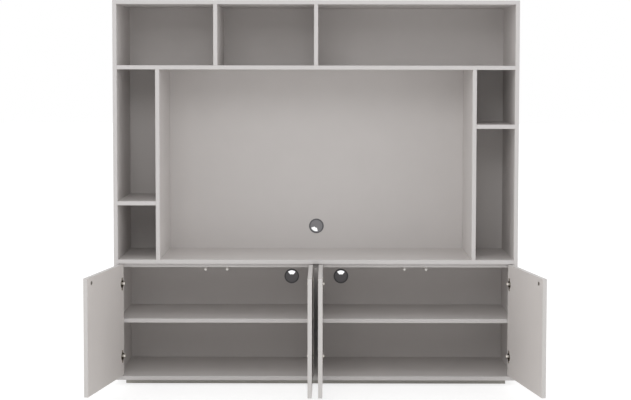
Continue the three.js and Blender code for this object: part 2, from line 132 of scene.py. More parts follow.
# %% [markdown]
# Such a picture is taken in a white studio. Large soft boxes stand far to the left and right, so the room is
# brightest there, and the ceiling throws some light down. Area lamps could stand for all of that, but a
# world whose level grows with the square of the direction's x and z has no edges to show in a shadow. A
# front edge then renders about as its colour is written, while a deep narrow cell gets dark because it sees
# little of the room. The camera and the metal parts see the room as plain white.

# %% Room light
ROOM_LEVEL = 0.2
SIDE_LEVEL = 1.7
TOP_LEVEL = 0.55


def seen_directly(tree):
    """1 for rays from the camera, a gloss or a glass, and 0 for the soft light between surfaces."""
    rays = add_node(tree, "ShaderNodeLightPath").outputs
    shiny = {0: rays["Is Glossy Ray"], 1: rays["Is Transmission Ray"]}
    shine = add_node(tree, "ShaderNodeMath", shiny, operation="MAXIMUM").outputs[0]
    either = {0: rays["Is Camera Ray"], 1: shine}
    return add_node(tree, "ShaderNodeMath", either, operation="MAXIMUM").outputs[0]


def make_room():
    """A world of level room + side x² + top z² for soft light, and plain white where it is seen directly."""
    world = bpy.data.worlds.new("studio")
    world.use_nodes = True
    tree = world.node_tree
    direction = add_node(tree, "ShaderNodeTexCoord").outputs["Generated"]
    x, _, z = add_node(tree, "ShaderNodeSeparateXYZ", {0: direction}).outputs
    x_squared = add_node(tree, "ShaderNodeMath", {0: x, 1: x}, operation="MULTIPLY").outputs[0]
    z_squared = add_node(tree, "ShaderNodeMath", {0: z, 1: z}, operation="MULTIPLY").outputs[0]
    sides = {0: x_squared, 1: SIDE_LEVEL, 2: ROOM_LEVEL}
    level = add_node(tree, "ShaderNodeMath", sides, operation="MULTIPLY_ADD").outputs[0]
    ceiling = {0: z_squared, 1: TOP_LEVEL, 2: level}
    level = add_node(tree, "ShaderNodeMath", ceiling, operation="MULTIPLY_ADD").outputs[0]
    shown = {0: seen_directly(tree), 2: level, 3: 1.0}
    level = add_node(tree, "ShaderNodeMix", shown, data_type="FLOAT").outputs[0]
    background = tree.nodes["Background"]
    background.inputs["Color"].default_value = (1.0, 1.0, 1.0, 1.0)
    tree.links.new(level, background.inputs["Strength"])
    return world


scene.world = make_room()
print("room light: level", ROOM_LEVEL, "to", ROOM_LEVEL + SIDE_LEVEL, "at the sides")

# %% [markdown]
# One more soft box hangs high in front and fills the niche. It could be part of the world too, but a lamp
# at a real distance throws the soft shadows under the shelves.

# %% Front soft box
SOFTBOX_PLACE = (-0.6, -5.0, 3.6)
SOFTBOX_TARGET = (0.0, 0.0, 0.9)
SOFTBOX_SIZE = (3.0, 2.0)
SOFTBOX_WATTS = 52.0

lamp = bpy.data.lights.new("front_softbox", "AREA")
lamp.shape = "RECTANGLE"
lamp.size, lamp.size_y = SOFTBOX_SIZE
lamp.energy = SOFTBOX_WATTS
softbox = bpy.data.objects.new("front_softbox", lamp)
softbox.location = SOFTBOX_PLACE
beam = Vector(SOFTBOX_TARGET) - Vector(SOFTBOX_PLACE)
softbox.rotation_euler = beam.to_track_quat("-Z", "Y").to_euler()
scene.collection.objects.link(softbox)
print("soft box of", SOFTBOX_SIZE, "m and", SOFTBOX_WATTS, "W")

# %% [markdown]
# The floor is matt white paper. It throws much of the light back under the doors and the bottom board. To
# the camera it glows a little, so that it is as white as the room behind it and still shows the unit's soft
# shadow. More light would whiten it too, but then the boards would be too bright.

# %% Floor
FLOOR_HALF_SIZE = 30.0
PAPER_COLOUR = "F3F2F1"
FLOOR_GLOW = 0.70
FLOOR_SHARE = 0.45

paper, tree, output = new_material("studio_paper")
matt = add_node(tree, "ShaderNodeBsdfDiffuse", {"Color": linear(PAPER_COLOUR)})
shaded = add_node(tree, "ShaderNodeBsdfDiffuse", {"Color": (FLOOR_SHARE, FLOOR_SHARE, FLOOR_SHARE, 1.0)})
glow = add_node(tree, "ShaderNodeEmission", {"Strength": FLOOR_GLOW})
white = add_node(tree, "ShaderNodeAddShader", {0: shaded.outputs[0], 1: glow.outputs[0]})
views = {0: seen_directly(tree), 1: matt.outputs[0], 2: white.outputs[0]}
choice = add_node(tree, "ShaderNodeMixShader", views)
tree.links.new(choice.outputs[0], output.inputs["Surface"])

floor_mesh = bpy.data.meshes.new("floor")
half = FLOOR_HALF_SIZE
corners = [(-half, -half, 0), (half, -half, 0), (half, half, 0), (-half, half, 0)]
floor_mesh.from_pydata(corners, [], [(0, 1, 2, 3)])
floor_mesh.materials.append(paper)
floor = bpy.data.objects.new("floor", floor_mesh)
scene.collection.objects.link(floor)
print("floor of", 2 * half, "m")

# %% [markdown]
# Melamine-faced board is chipboard pressed between two sheets of printed paper soaked in resin. Its colour
# is even, its sheen is satin, and the press plate leaves a fine pearl texture. Its cut edges are covered by
# a 1 mm strip of ABS plastic of the same colour, rounded at its corners and a little smoother. Board and
# strip could be two objects, but then a hundred strips would need placing. So one material does both, and
# an attribute of the mesh is 1 on the faces of the strip. The real pearl is about half a millimetre across,
# too fine to show, and is drawn three times coarser. Blender's noise mostly lies between 0.3 and 0.7, so
# that band is stretched to the whole range.

# %% Melamine-faced board with ABS edging
PEARL_SIZE = 1.6 * MM
PEARL_HEIGHT, PEARL_STRENGTH = 0.05 * MM, 0.25
PEARL_LOW, PEARL_HIGH = 0.2, 0.8
CLOUD_SIZE = 140 * MM
NOISE_LOW, NOISE_HIGH = 0.3, 0.7
BOARD_SMOOTH, BOARD_ROUGH = 0.54, 0.66
STRIP_ROUGHNESS = 0.5
RESIN_IOR = 1.5


def melamine(name, colour, shade, strip):
    """Satin board: a faint cloud in the printed colour, pearl bumps, and the strip's colour on edging."""
    material, tree, output = new_material(name)
    place = add_node(tree, "ShaderNodeTexCoord").outputs["Object"]
    marks = add_node(tree, "ShaderNodeAttribute", attribute_name="edging", attribute_type="GEOMETRY")
    edging = marks.outputs["Fac"]
    clouds = {"Vector": place, "Scale": 1 / CLOUD_SIZE, "Detail": 3.0, "Roughness": 0.6}
    cloud = add_node(tree, "ShaderNodeTexNoise", clouds).outputs[0]
    pearls = {"Vector": place, "Scale": 1 / PEARL_SIZE, "Detail": 2.0, "Roughness": 0.5}
    pearl = add_node(tree, "ShaderNodeTexNoise", pearls).outputs[0]
    stretch = {"Value": cloud, "From Min": NOISE_LOW, "From Max": NOISE_HIGH}
    share = add_node(tree, "ShaderNodeMapRange", stretch).outputs[0]
    shades = {0: share, 6: linear(shade), 7: linear(colour)}
    paper_colour = add_node(tree, "ShaderNodeMix", shades, data_type="RGBA").outputs[2]
    tints = {0: edging, 6: paper_colour, 7: linear(strip)}
    tint = add_node(tree, "ShaderNodeMix", tints, data_type="RGBA").outputs[2]
    satin = {"Value": pearl, "From Min": PEARL_LOW, "From Max": PEARL_HIGH}
    satin |= {"To Min": BOARD_SMOOTH, "To Max": BOARD_ROUGH}
    faces = add_node(tree, "ShaderNodeMapRange", satin).outputs[0]
    sheen = {0: edging, 2: faces, 3: STRIP_ROUGHNESS}
    gloss = add_node(tree, "ShaderNodeMix", sheen, data_type="FLOAT").outputs[0]
    bumps = {"Height": pearl, "Strength": PEARL_STRENGTH, "Distance": PEARL_HEIGHT}
    relief = add_node(tree, "ShaderNodeBump", bumps).outputs[0]
    finish = {"Base Color": tint, "Roughness": gloss, "IOR": RESIN_IOR, "Normal": relief}
    shader = add_node(tree, "ShaderNodeBsdfPrincipled", finish)
    tree.links.new(shader.outputs[0], output.inputs["Surface"])
    return material


carcass_board = melamine("melamine_faced_board", "D2CECC", "D0CCCA", "D0CDCC")
door_board = melamine("melamine_faced_door", "D1CCC9", "CFCAC7", "D0CDCB")
plinth_board = melamine("melamine_faced_plinth", "C6C4BD", "C3C1BA", "C6C4BD")
print("made", carcass_board.name, door_board.name, plinth_board.name)

# %% [markdown]
# Hinges are stamped from steel strip and plated with nickel, which gives a warm white metal with a soft
# sheen and faint streaks along the strip. A cup is drawn deeper and comes out smoother. Its colour is painted
# darker, a painted reflection of the dark inside that it mostly mirrors. The strike plates are zinc-plated
# and passivated dark. The streaks could be an anisotropic shader, but here they are stretched noise in the
# roughness. Real streaks are hair-fine, and are drawn half a millimetre wide so that they show.

# %% Plated steel
STREAK_WIDTH = 0.5 * MM
STREAK_STRETCH = 0.08
STREAK_SMOOTHER, STREAK_ROUGHER = 0.06, 0.08


def plated_steel(name, colour, roughness):
    """Plated steel: a metal whose roughness varies about the given one in noise drawn out along Z."""
    material, tree, output = new_material(name)
    place = add_node(tree, "ShaderNodeTexCoord").outputs["Object"]
    stretch = {"Vector": place, "Scale": (1.0, 1.0, STREAK_STRETCH)}
    drawn = add_node(tree, "ShaderNodeMapping", stretch).outputs[0]
    streaks = {"Vector": drawn, "Scale": 1 / STREAK_WIDTH, "Detail": 3.0}
    streak = add_node(tree, "ShaderNodeTexNoise", streaks).outputs[0]
    sheen = {"Value": streak, "From Min": NOISE_LOW, "From Max": NOISE_HIGH}
    sheen |= {"To Min": roughness - STREAK_SMOOTHER, "To Max": roughness + STREAK_ROUGHER}
    gloss = add_node(tree, "ShaderNodeMapRange", sheen).outputs[0]
    finish = {"Base Color": linear(colour), "Metallic": 1.0, "Roughness": gloss}
    shader = add_node(tree, "ShaderNodeBsdfPrincipled", finish)
    tree.links.new(shader.outputs[0], output.inputs["Surface"])
    return material


nickel = plated_steel("nickel_plated_steel", "E2DDD5", 0.3)
# The cup's colour is painted darker than the arm's: a painted reflection of its dark inside.
cup_nickel_painted_reflection = plated_steel("nickel_plated_steel_painted_reflection", "A19A90", 0.22)
dark_zinc = plated_steel("dark_zinc_plated_steel", "8E8880", 0.45)
print("made", nickel.name, cup_nickel_painted_reflection.name, dark_zinc.name)

# %% [markdown]
# The latches are moulded in acetal and the grommets in ABS. A mould is spark-eroded to a fine grain, so the
# plastic has a soft sheen and tiny bumps. The grain could be displaced for real, but that costs many faces
# and shows no more than a bump does. The real grain is about a tenth of a millimetre, and is drawn coarser
# so that a close view shows it.

# %% Moulded plastic
GRAIN_HEIGHT, GRAIN_STRENGTH = 0.04 * MM, 0.3
GRAIN_SPREAD = 0.05
PLASTIC_IOR = 1.5


def moulded_plastic(name, colour, roughness, grain):
    """Moulded plastic: noise of the grain's size moves the roughness a little and lifts bumps."""
    material, tree, output = new_material(name)
    place = add_node(tree, "ShaderNodeTexCoord").outputs["Object"]
    grains = {"Vector": place, "Scale": 1 / grain, "Detail": 2.0}
    height = add_node(tree, "ShaderNodeTexNoise", grains).outputs[0]
    sheen = {"Value": height, "From Min": NOISE_LOW, "From Max": NOISE_HIGH}
    sheen |= {"To Min": roughness - GRAIN_SPREAD, "To Max": roughness + GRAIN_SPREAD}
    gloss = add_node(tree, "ShaderNodeMapRange", sheen).outputs[0]
    bumps = {"Height": height, "Strength": GRAIN_STRENGTH, "Distance": GRAIN_HEIGHT}
    relief = add_node(tree, "ShaderNodeBump", bumps).outputs[0]
    finish = {"Base Color": linear(colour), "Roughness": gloss, "IOR": PLASTIC_IOR, "Normal": relief}
    shader = add_node(tree, "ShaderNodeBsdfPrincipled", finish)
    tree.links.new(shader.outputs[0], output.inputs["Surface"])
    return material


latch_plastic = moulded_plastic("moulded_acetal", "D9D7D3", 0.42, 0.6 * MM)
# The liner's grey is painted darker than the cap's: painted shade for the shadowed ring round the cap.
liner_plastic_painted_shade = moulded_plastic("moulded_abs_liner_painted_shade", "636266", 0.4, 0.8 * MM)
cap_plastic = moulded_plastic("moulded_abs_cap", "8A898C", 0.45, 0.8 * MM)
print("made", latch_plastic.name, liner_plastic_painted_shade.name, cap_plastic.name)

# %% [markdown]
# Every piece here is cut, pressed, turned or moulded, so its shape is an outline that is carried along a
# line or turned about an axis. The outlines come first. A corner could be softened later by a Bevel
# modifier, but an arc in the outline gives each corner its own radius.


# %% Outlines
def arc(centre, radius, first, last, steps=5):
    """Points on a circle between two angles in degrees: the centre plus radius times cosine and sine."""
    turn = np.radians(np.linspace(first, last, steps + 1))
    return np.array(centre) + radius * np.column_stack([np.cos(turn), np.sin(turn)])


def chain(*parts):
    """One line of points from single points and stretches of points."""
    return np.concatenate([np.atleast_2d(part) for part in parts])


def rectangle(x0, x1, y0, y1):
    """The four corners of a rectangle, anticlockwise."""
    return [(x0, y0), (x1, y0), (x1, y1), (x0, y1)]


def rounded_outline(corners, radii, steps=4):
    """A closed outline through the corners, each replaced by an arc of its radius, tangent to both sides.

    The arc's centre lies on the corner's bisector, radius / sin(half the angle) away from the corner.
    """
    corners = np.array(corners, float)
    before = np.roll(corners, 1, axis=0) - corners
    after = np.roll(corners, -1, axis=0) - corners
    before /= np.linalg.norm(before, axis=1)[:, None]
    after /= np.linalg.norm(after, axis=1)[:, None]
    stretches = []
    for corner, back, ahead, radius in zip(corners, before, after, radii):
        if radius == 0:
            stretches.append(corner[None])
            continue
        half_angle = math.acos(np.clip(back @ ahead, -1, 1)) / 2
        centre = corner + (back + ahead) / np.linalg.norm(back + ahead) * radius / math.sin(half_angle)
        start = corner + back * radius / math.tan(half_angle) - centre
        end = corner + ahead * radius / math.tan(half_angle) - centre
        sweep = math.pi - 2 * half_angle
        t = np.linspace(0, 1, steps + 1)[:, None]
        bend = (np.sin((1 - t) * sweep) * start + np.sin(t * sweep) * end) / math.sin(sweep)
        stretches.append(centre + bend)
    return np.concatenate(stretches)


def inset(outline, amount):
    """The outline moved inwards by amount, along the mitre at each point."""
    side = np.roll(outline, -1, axis=0) - outline
    side /= np.linalg.norm(side, axis=1)[:, None]
    normal = np.column_stack([-side[:, 1], side[:, 0]])
    x, y = outline.T
    normal *= np.sign(np.sum(x * np.roll(y, -1) - y * np.roll(x, -1)))
    mitre = normal + np.roll(normal, 1, axis=0)
    mitre /= np.sum(mitre * normal, axis=1)[:, None]
    return outline + mitre * amount


print("a square with rounded corners has", len(rounded_outline(rectangle(0, 4, 0, 4), [1] * 4)), "points")

# %% [markdown]
# A skin joins neighbouring rings of points by quads. Carried along a line, and drawn in a little at both
# ends, an outline makes a board or a plate with softened rims. Turned about an axis, a line of radii makes
# a cup or a rod. Blender's Screw and Curve objects do the same by hand. On whole arrays it is a few lines,
# and the result is known to be closed and to face outwards.


# %% Skins
def loft(rings, loop=False):
    """A skin over rings shaped (rings, points, 3). Caps close its ends, unless it loops.

    Six times the volume is the sum of each face's middle times its area vector. If that is negative, the
    faces look inwards, and all of them are turned over.
    """
    rings = np.asarray(rings, float)
    count, around = rings.shape[:2]
    index = np.arange(count * around).reshape(count, around)
    ahead = np.roll(index, -1, axis=1)
    quads = np.stack([index, ahead, np.roll(ahead, -1, axis=0), np.roll(index, -1, axis=0)], axis=-1)
    groups = [quads.reshape(-1, 4)]
    if not loop:
        groups = [quads[:-1].reshape(-1, 4), np.stack([index[0][::-1], index[-1]])]
    points = rings.reshape(-1, 3)
    centred = points - points.mean(axis=0)
    volume = 0.0
    for group in groups:
        corners = centred[group]
        area = np.cross(corners, np.roll(corners, -1, axis=1)).sum(axis=1)
        volume += np.sum(corners.mean(axis=1) * area)
    outwards = groups if volume > 0 else [group[:, ::-1] for group in groups]
    return points, [face for group in outwards for face in group.tolist()]


def prism(outline, length, rim=0.0, steps=2, grooves=()):
    """An outline carried along the third axis from 0 to length, its rims rounded by quarter circles.

    Each groove is a pair of height and depth, drawn in as a V.
    """
    turn = np.linspace(0, math.pi / 2, steps + 1) if rim else np.zeros(1)
    draw, rise = rim * (1 - np.sin(turn)), rim * (1 - np.cos(turn))
    levels = list(zip(rise, draw))
    for at, depth in grooves:
        levels += [(at - depth, 0.0), (at, depth), (at + depth, 0.0)]
    levels += list(zip(length - rise[::-1], draw[::-1]))
    return loft([np.column_stack([inset(outline, amount), np.full(len(outline), z)]) for z, amount in levels])


def lathe(profile, segments, loop=False):
    """A line of (radius, height) points turned about the third axis."""
    turn = np.linspace(0, 2 * math.pi, segments, endpoint=False)
    radius, height = np.array(profile, float).T[:, :, None]
    ring = [radius * np.cos(turn), radius * np.sin(turn), np.repeat(height, segments, axis=1)]
    return loft(np.stack(ring, axis=-1), loop)


def carry(section, path, width_axis):
    """A flat outline carried along a path: path + x times the way across + y times width_axis."""
    path = np.array(path, float)
    ahead = np.gradient(path, axis=0)
    ahead /= np.linalg.norm(ahead, axis=1)[:, None]
    across = np.cross(np.broadcast_to(width_axis, path.shape), ahead)
    across /= np.linalg.norm(across, axis=1)[:, None]
    return loft(path[:, None] + section[None, :, :1] * across[:, None] + section[None, :, 1:] * width_axis)


def placed(shell, origin, first, second, third):
    """A shell moved so that its three axes lie along the given ones, at origin, still facing outwards."""
    points, faces = shell
    basis = np.array([first, second, third], float)
    if np.linalg.det(basis) < 0:
        faces = [face[::-1] for face in faces]
    return np.array(origin, float) + points @ basis, faces


print("a box as a skin has", len(prism(np.array(rectangle(0, 1, 0, 1), float), 1.0)[1]), "faces")

# %% [markdown]
# One object is made from several closed shells, such as a plate and its screws. It rides on its solid's
# body and stands in its place. Every edge could be bevelled to shade well, but it is lighter to keep
# corners over 35 degrees sharp. A Weighted Normal modifier then lets the large flat faces set the shading,
# so that a narrow rounded rim can't tint them. BACKWARDS are the axes of a shape that is drawn facing the
# front and carried back.

# %% Pieces
SHARP_ANGLE = math.radians(35)
BACKWARDS = (X_AXIS, Z_AXIS, Y_AXIS)
slot_of = {row["node"]: row["material_slot"] for row in frame["record"]["subparts"]}
body_of = {node: body for body, nodes in frame["record"]["behaviour"]["bodies"].items() for node in nodes}


def corners_of(node):
    """A solid's lowest and highest corner, as arrays."""
    low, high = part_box(node)
    return np.array(low), np.array(high)


def front_of(node):
    """The middle of a solid's front side."""
    low, high = corners_of(node)
    return np.array([(low[0] + high[0]) / 2, low[1], (low[2] + high[2]) / 2])


def new_mesh(name, shells):
    """One mesh from several shells, one after another, each one's faces counted on from its first point."""
    starts = np.cumsum([0] + [len(points) for points, _ in shells]).tolist()
    faces = [[start + i for i in face] for start, (_, skin) in zip(starts, shells) for face in skin]
    mesh = bpy.data.meshes.new(name)
    mesh.from_pydata(np.concatenate([points for points, _ in shells]).tolist(), [], faces)
    return mesh


def shade(mesh):
    """Smooth shading up to the sharp angle."""
    mesh.polygons.foreach_set("use_smooth", np.ones(len(mesh.polygons), bool))
    mesh.set_sharp_from_angle(angle=SHARP_ANGLE)


def make_piece(name, shells, material, node, edging=None):
    """One object from closed shells in place of a solid. edging, where given, is 1 on faces of the strip."""
    mesh = new_mesh(name, shells)
    mesh.materials.append(material)
    if edging is not None:
        marks = mesh.attributes.new("edging", "FLOAT", "FACE")
        marks.data.foreach_set("value", edging.astype(np.float32))
    shade(mesh)
    piece = bpy.data.objects.new(name, mesh)
    scene.collection.objects.link(piece)
    piece.modifiers.new("even_shading", "WEIGHTED_NORMAL").keep_sharp = True
    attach(piece, body_of[node])
    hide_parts(node)
    return piece


def drill(piece, cutters):
    """Cuts closed shells out of a piece and keeps the result as its mesh."""
    tool = bpy.data.objects.new("cutter", new_mesh("cutter", cutters))
    scene.collection.objects.link(tool)
    cut = piece.modifiers.new("drill", "BOOLEAN")
    cut.operation, cut.solver, cut.object = "DIFFERENCE", "EXACT", tool
    piece.modifiers.move(len(piece.modifiers) - 1, 0)
    shading = piece.modifiers["even_shading"]
    shading.show_viewport = False
    bpy.context.view_layer.update()
    drilled = bpy.data.meshes.new_from_object(piece.evaluated_get(bpy.context.evaluated_depsgraph_get()))
    piece.modifiers.remove(cut)
    shading.show_viewport = True
    piece.data = drilled
    shade(drilled)
    bpy.data.objects.remove(tool)


# %% [markdown]
# A board is its cross-section carried along its length. The section has the 1 mm edging at the front with
# its corners rounded, a hairline where the strip is glued on, and sharp but not knife-like corners at the
# back. A box with a Bevel modifier has no place for the hairline, and would round the back like the front.
# The thin side of a solid's box says which way its board stands.

# %% Carcass boards
EDGING_THICKNESS = 1.0 * MM
EDGING_RADIUS = 0.8 * MM
GLUE_LINE = 0.12 * MM
ARRIS = 0.25 * MM


def board_section(thickness, depth):
    """A board's cross-section: across its thickness, and from its front edge at 0 back to its depth."""
    line, groove = EDGING_THICKNESS, GLUE_LINE
    left = [(0, depth), (0, line + groove), (groove, line), (0, line - groove), (0, 0)]
    right = [(thickness - x, y) for x, y in left[::-1]]
    radii = [ARRIS, 0, 0, 0, EDGING_RADIUS]
    return rounded_outline(left + right, radii + radii[::-1])


def face_centres(shell):
    """The mean of each face's corners."""
    points, faces = shell
    return np.array([points[face].mean(axis=0) for face in faces])


def make_board(node):
    """A board in place of a carcass solid, upright or level, with its banded edge to the front."""
    low, high = corners_of(node)
    width, depth, height = high - low
    upright = width < height
    thickness, length = (width, height) if upright else (height, width)
    shell = prism(board_section(thickness, depth), length, ARRIS)
    edging = face_centres(shell)[:, 1] < EDGING_THICKNESS
    axes = (X_AXIS, Y_AXIS, Z_AXIS) if upright else (Z_AXIS, Y_AXIS, X_AXIS)
    make_piece("board_" + node, [placed(shell, low, *axes)], carcass_board, node, edging)


backs = {"hutch_back": ["niche"], "base_back": ["base_left", "base_right"]}
boards = [node for node, slot in slot_of.items() if slot == "carcass_laminate" and node not in backs]
for node in boards:
    make_board(node)
print(len(boards), "carcass boards")

# %% [markdown]
# The back panels are the same board without a banded edge. A hole saw cuts a 60 mm hole for each cable
# grommet. The panel could be drawn in pieces round its holes, but a Boolean modifier cuts them as the saw
# does. Its result is kept as the panel's mesh, so that nothing is left to work out later.

# %% Back panels
GROMMET_HOLE_RADIUS = 30 * MM
HOLE_SEGMENTS = 72
CUT_PAST = 5 * MM


def round_cutter(radius, length):
    """A rod that a round hole is cut with."""
    return prism(arc((0, 0), radius, 0, 360, HOLE_SEGMENTS)[:-1], length)


for node, labels in backs.items():
    low, high = corners_of(node)
    width, thickness, height = high - low
    panel = placed(prism(np.array(rectangle(0, width, 0, height)), thickness, ARRIS), low, *BACKWARDS)
    piece = make_piece("board_" + node, [panel], carcass_board, node, np.zeros(len(panel[1])))
    hole = round_cutter(GROMMET_HOLE_RADIUS, thickness + 2 * CUT_PAST)
    centres = [front_of("grommet_liner_" + label) for label in labels]
    drill(piece, [placed(hole, (x, low[1] - CUT_PAST, z), *BACKWARDS) for x, _, z in centres])
print(len(backs), "back panels")

# %% [markdown]
# The plinth is a frame of four rails under the base, mitred at its corners and set back on all sides. Four
# boxes would meet in butt joints, so the rails' section is carried round a rectangle instead, and the last
# corner joins the first.

# %% Plinth
low, high = corners_of("plinth_frame")
board_low, board_high = corners_of("base_bottom")
rail = (board_high - board_low)[2]
section = rounded_outline(rectangle(0, rail, 0, high[2] - low[2]), [ARRIS] * 4, steps=2)
rings = []
for x_side, y_side in rectangle(-1, 1, -1, 1):
    corner = np.array([high[0] if x_side > 0 else low[0], high[1] if y_side > 0 else low[1], low[2]])
    inwards = np.array([-x_side, -y_side, 0.0])
    rings.append(corner + section[:, :1] * inwards + section[:, 1:] * Z_AXIS)
rails = loft(rings, loop=True)
make_piece("plinth_rails", [rails], plinth_board, "plinth_frame", np.zeros(len(rails[1])))
print("plinth of", round(float(rail / MM), 1), "mm rails")

# %% [markdown]
# Each door is drawn in its own axes, along the door, through it and up it, measured from the hinge's pin.
# The photograph shows the doors open, so those axes are the cabinet's, turned about the pin by the joint's
# range. A door could be drawn shut and its object turned, but a finished piece has to lie where its mesh
# says.

# %% Door axes
DOORS = ("outer_left", "inner_left", "inner_right", "outer_right")
LEVELS = ("upper", "lower")
joint_of = {joint["child"]: joint for joint in frame["joints"]}


def door_axes(door):
    """The pin's place, the way the shut door runs, and the open door's three axes."""
    joint = joint_of[door + "_door"]
    side = joint["axis"][2]
    turn = -side * math.radians(joint["range_deg"][1])
    along = side * np.array([math.cos(turn), math.sin(turn), 0.0])
    through = np.array([-math.sin(turn), math.cos(turn), 0.0])
    return np.array(joint["pos_m"], float), side, (along, through, Z_AXIS)


def local_box(node, origin, axes):
    """A solid's lowest and highest corner along the given axes, measured from origin."""
    mesh = frame["nodes"][node].data
    points = np.zeros(len(mesh.vertices) * 3, np.float32)
    mesh.vertices.foreach_get("co", points)
    local = (points.reshape(-1, 3) - origin) @ np.array(axes).T
    return local.min(axis=0), local.max(axis=0)


for door in DOORS:
    pin, _, axes = door_axes(door)
    low, high = local_box("door_" + door, pin, axes)
    print(door, "door", np.round((high - low) / MM, 1), "mm")

# %% [markdown]
# All four edges of a door are banded, and two 35 mm holes are bored for the hinge cups. Four strips could be
# laid round a plain board. Here the outline is the door seen from above with its two upright strips, and a
# rounded rim and a groove at each end of its way up add the level ones.

# %% Doors
CUP_BORE_RADIUS = 17.5 * MM
CUP_BORE_DEPTH = 14.5 * MM


def door_outline(width, thickness):
    """The door from above: a rounded strip at each end, and the two grooves where it is glued on."""
    line, groove = EDGING_THICKNESS, GLUE_LINE
    near = [(line + groove, 0), (line, groove), (line - groove, 0), (0, 0)]
    near += [(x, thickness - y) for x, y in near[::-1]]
    far = [(width - x, thickness - y) for x, y in near]
    return rounded_outline(near + far, ([0, 0, 0, EDGING_RADIUS] + [EDGING_RADIUS, 0, 0, 0]) * 2)


def make_door(door):
    """A door with four banded edges and two cup bores in place of its solid."""
    node = "door_" + door
    pin, _, axes = door_axes(door)
    low, high = local_box(node, pin, axes)
    width, thickness, height = high - low
    line = EDGING_THICKNESS
    grooves = [(line, GLUE_LINE), (height - line, GLUE_LINE)]
    shell = prism(door_outline(width, thickness), height, EDGING_RADIUS, steps=4, grooves=grooves)
    x, _, z = face_centres(shell).T
    edging = (x < line) | (x > width - line) | (z < line) | (z > height - line)
    corner = pin + low @ np.array(axes)
    piece = make_piece("panel_" + node, [placed(shell, corner, *axes)], door_board, node, edging)
    along, through, up = axes
    bores = []
    for level in LEVELS:
        centre = np.mean(local_box(f"hinge_cup_{door}_{level}", pin, axes), axis=0)
        start = pin + np.array([centre[0], high[1] - CUP_BORE_DEPTH, centre[2]]) @ np.array(axes)
        bore = round_cutter(CUP_BORE_RADIUS, CUP_BORE_DEPTH + CUT_PAST)
        bores.append(placed(bore, start, along, up, through))
    drill(piece, bores)


for door in DOORS:
    make_door(door)
print(len(DOORS), "doors")

# %% [markdown]
# A screw head is a low dome with a cross pressed into it. The cross could be cut by a Boolean, but as a
# height that depends on the radius and the angle it gets the soft edges of a pressed recess.

# %% Screw heads
HEAD_RADII = np.array([*np.linspace(0.04, 0.62, 11), 0.72, 0.84, 0.94, 1.0])[:, None]
HEAD_SEGMENTS = 32
HEAD_FOOT = 0.3 * MM
DOME_FOOT = 0.45
CROSS_HALF_WIDTH, CROSS_REACH, CROSS_DEPTH = 0.15, 0.52, 0.55
CROSS_SIDE, CROSS_END = 0.06, 0.1


def screw_head(radius, height):
    """A domed head on its base at height 0, with a cross recess in its top and a foot below the base.

    The dome is its foot plus an ellipse. The recess is full where the nearer of x and y is small and the
    radius is within the cross's reach, and fades over its side and its end, all as shares of the radius.
    """
    turn = np.linspace(0, 2 * math.pi, HEAD_SEGMENTS, endpoint=False)
    x, y = HEAD_RADII * np.cos(turn), HEAD_RADII * np.sin(turn)
    dome = DOME_FOOT + (1 - DOME_FOOT) * np.sqrt(np.clip(1 - HEAD_RADII**2, 0, 1))
    cross = np.clip((CROSS_HALF_WIDTH - np.minimum(abs(x), abs(y))) / CROSS_SIDE + 0.5, 0, 1)
    cross = cross * np.clip((CROSS_REACH - HEAD_RADII) / CROSS_END + 0.5, 0, 1)
    top = np.stack([radius * x, radius * y, height * (dome - CROSS_DEPTH * cross)], axis=-1)
    base = np.stack([radius * x[-1], radius * y[-1], np.full(HEAD_SEGMENTS, -HEAD_FOOT)], axis=-1)
    return loft(np.concatenate([top, base[None]]))


print("a screw head has", len(screw_head(4 * MM, 1.5 * MM)[1]), "faces")

# %% [markdown]
# A concealed hinge has two halves. The arm is screwed to the cabinet, and its cranked end reaches round the
# door's edge to the pin. The end is stamped from strip, so a section is carried along the line of the crank,
# and each bend gets a real inner and outer radius. A bent box would need a bevel for each. Both halves are
# drawn about the pin: along the shut door, back into the cabinet, and up.

# %% Hinge strip and pin
ARM_THICKNESS = 2.0 * MM
ARM_WIDTH = 10.0 * MM
ARM_CORNER = 0.5 * MM
ARM_BEND_RADIUS = 2.6 * MM
EYE_RADIUS = 1.9 * MM
PIN_RADIUS = 1.1 * MM
PIN_LENGTH = 16.8 * MM
PIN_CHAMFER = 0.3 * MM


def arm_strip(outer, rise, end):
    """The cranked strip: out from the pin, back past the door's edge and in to the housing."""
    bend = ARM_BEND_RADIUS
    first = arc((outer - bend, bend), bend, -90, 0, steps=6)
    second = arc((outer - bend, rise - bend), bend, 0, 90, steps=6)
    line = chain((0, 0), first, second, (end, rise))
    half, wide = ARM_THICKNESS / 2, ARM_WIDTH / 2
    section = rounded_outline(rectangle(-half, half, -wide, wide), [ARM_CORNER] * 4, steps=3)
    return carry(section, np.column_stack([line, np.zeros(len(line))]), Z_AXIS)


def eye_and_pin():
    """The strip's rolled end and the pin with chamfered ends, both turned about the third axis."""
    radius, chamfer, length = PIN_RADIUS, PIN_CHAMFER, PIN_LENGTH
    rod = [(radius - chamfer, 0), (radius, chamfer), (radius, length - chamfer), (radius - chamfer, length)]
    eye = lathe([(EYE_RADIUS, 0), (EYE_RADIUS, ARM_WIDTH)], segments=20)
    pin = lathe(rod, segments=16)
    axes = (X_AXIS, Y_AXIS, Z_AXIS)
    return [placed(eye, (0, 0, -ARM_WIDTH / 2), *axes), placed(pin, (0, 0, -length / 2), *axes)]


print("each arm turns on a pin of", round(2 * PIN_RADIUS / MM, 1), "mm")

# %% [markdown]
# Behind the strip come a folded channel, the housing, and a cross-shaped plate that is screwed to the
# cabinet. Joined boxes would leave seams in the cross, so each is one outline carried straight. One function
# puts the arm together from its solid's box, and the axes mirror it for doors that open the other way.

